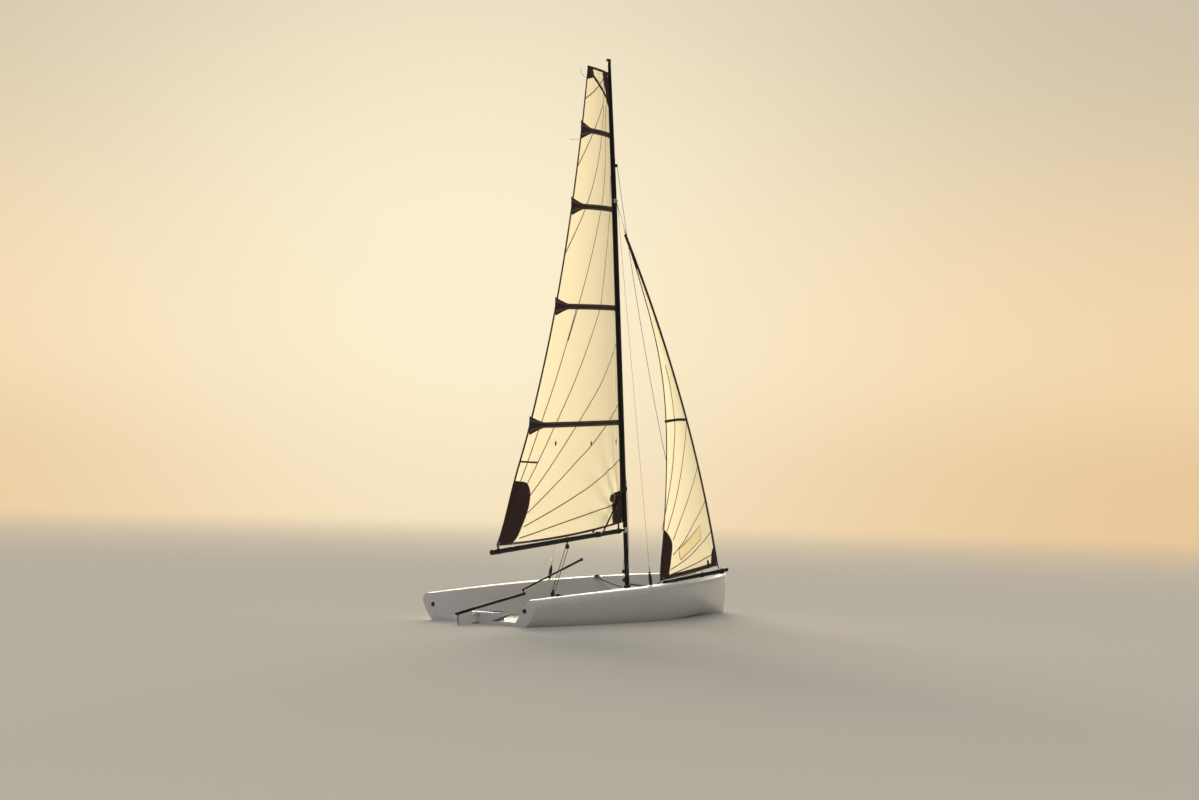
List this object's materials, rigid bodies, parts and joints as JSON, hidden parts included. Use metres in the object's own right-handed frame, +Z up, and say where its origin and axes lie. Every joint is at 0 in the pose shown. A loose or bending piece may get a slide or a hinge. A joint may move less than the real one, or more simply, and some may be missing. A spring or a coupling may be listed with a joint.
{
  "type": "two-handed sailing dinghy",
  "caption": "Open-transom centreboard dinghy under mainsail and self-tacking jib, with bowsprit, lifting rudder and centreboard, afloat.",
  "frame": {"origin": "on the centreline at the waterline, in the transom's plane", "axes": "+X to the bow, +Y to port, +Z up"},
  "size_m": [4.6326, 1.7194, 7.2657],
  "materials": {
    "hull_gelcoat": "glossy white gelcoat",
    "deck_gelcoat": "satin pale grey gelcoat",
    "black_spar": "satin black spar",
    "black_fitting": "moulded black",
    "stainless": "polished stainless",
    "sailcloth": "translucent laminate",
    "sail_patch": "dark reinforcing cloth",
    "foil_white": "glossy white",
    "webbing": "woven webbing"
  },
  "bodies": {
    "hull": {"hull_skin": "hull_gelcoat", "deck_moulding": "deck_gelcoat", "centreboard_case": "deck_gelcoat", "centreboard_pin": "stainless", "mast_step": "black_fitting", "mast": "black_spar", "mast_track": "black_spar", "masthead": "black_fitting", "gooseneck_bracket": "stainless", "gnav_bracket": "black_fitting", "hounds_fitting": "stainless", "gennaker_halyard_block": "black_fitting", "halyard_cleats": "black_fitting", "chainplate_port": "stainless", "chainplate_starboard": "stainless", "shroud_adjuster_port": "stainless", "shroud_adjuster_starboard": "stainless", "shroud_port": "stainless", "shroud_starboard": "stainless", "forestay_pendant": "stainless", "bow_fitting": "stainless", "jib_track": "black_spar", "bowsprit_guides": "black_fitting", "bowsprit_chock": "black_fitting", "hiking_strap_port": "webbing", "hiking_strap_starboard": "webbing", "gudgeons": "stainless", "pintle_rod": "stainless", "transom_bungs": "black_fitting", "mainsheet_swivel": "black_fitting"},
    "boom": {"boom": "black_spar", "boom_end": "black_fitting", "gooseneck_toggle": "black_fitting", "sail_straps": "webbing", "gnav_saddle": "black_fitting", "gnav_struts": "black_spar", "mainsheet_block": "black_fitting", "mainsail": "sailcloth", "mainsail_battens": "sail_patch"},
    "jib": {"jib": "sailcloth", "jib_luff": "sail_patch", "jib_batten": "sail_patch", "jib_swivels": "stainless", "jib_car": "black_fitting", "jib_sheet_strop": "webbing"},
    "rudder": {"rudder_stock": "foil_white", "tiller": "black_spar", "tiller_joint": "black_fitting"},
    "rudder_blade": {"rudder_blade": "foil_white"},
    "tiller_extension": {"tiller_extension": "black_spar"},
    "centreboard": {"centreboard": "foil_white"},
    "bowsprit": {"bowsprit_pole": "black_spar", "bowsprit_end": "black_fitting"}
  },
  "joints": [
    {"name": "boom_swing", "type": "hinge", "parent": "hull", "child": "boom", "pos_m": [2.37711, 0, 0.97633], "axis": [-0.0958, 0, 0.9954], "range_deg": [-62, 38]},
    {"name": "jib_swing", "type": "hinge", "parent": "hull", "child": "jib", "pos_m": [4.2, 0, 0.52], "axis": [-0.4525, 0, 0.8917], "range_deg": [-21, 9]},
    {"name": "rudder_steer", "type": "hinge", "parent": "hull", "child": "rudder", "pos_m": [-0.06, 0, 0.05], "axis": [0, 0, 1], "range_deg": [-45, 45]},
    {"name": "rudder_blade_lift", "type": "hinge", "parent": "rudder", "child": "rudder_blade", "pos_m": [-0.19, 0, 0.01], "axis": [0, 1, 0], "range_deg": [0, 95]},
    {"name": "tiller_extension_swing", "type": "hinge", "parent": "rudder", "child": "tiller_extension", "pos_m": [0.70817, 0, 0.32377], "axis": [-0.172, 0, 0.9851], "range_deg": [-100, 100]},
    {"name": "centreboard_lift", "type": "hinge", "parent": "hull", "child": "centreboard", "pos_m": [2.18, 0, -0.01], "axis": [0, 1, 0], "range_deg": [0, 88]},
    {"name": "bowsprit_slide", "type": "slide", "parent": "hull", "child": "bowsprit", "axis": [0.9941, 0, 0.1087], "range_m": [0, 0.7]}
  ]
}
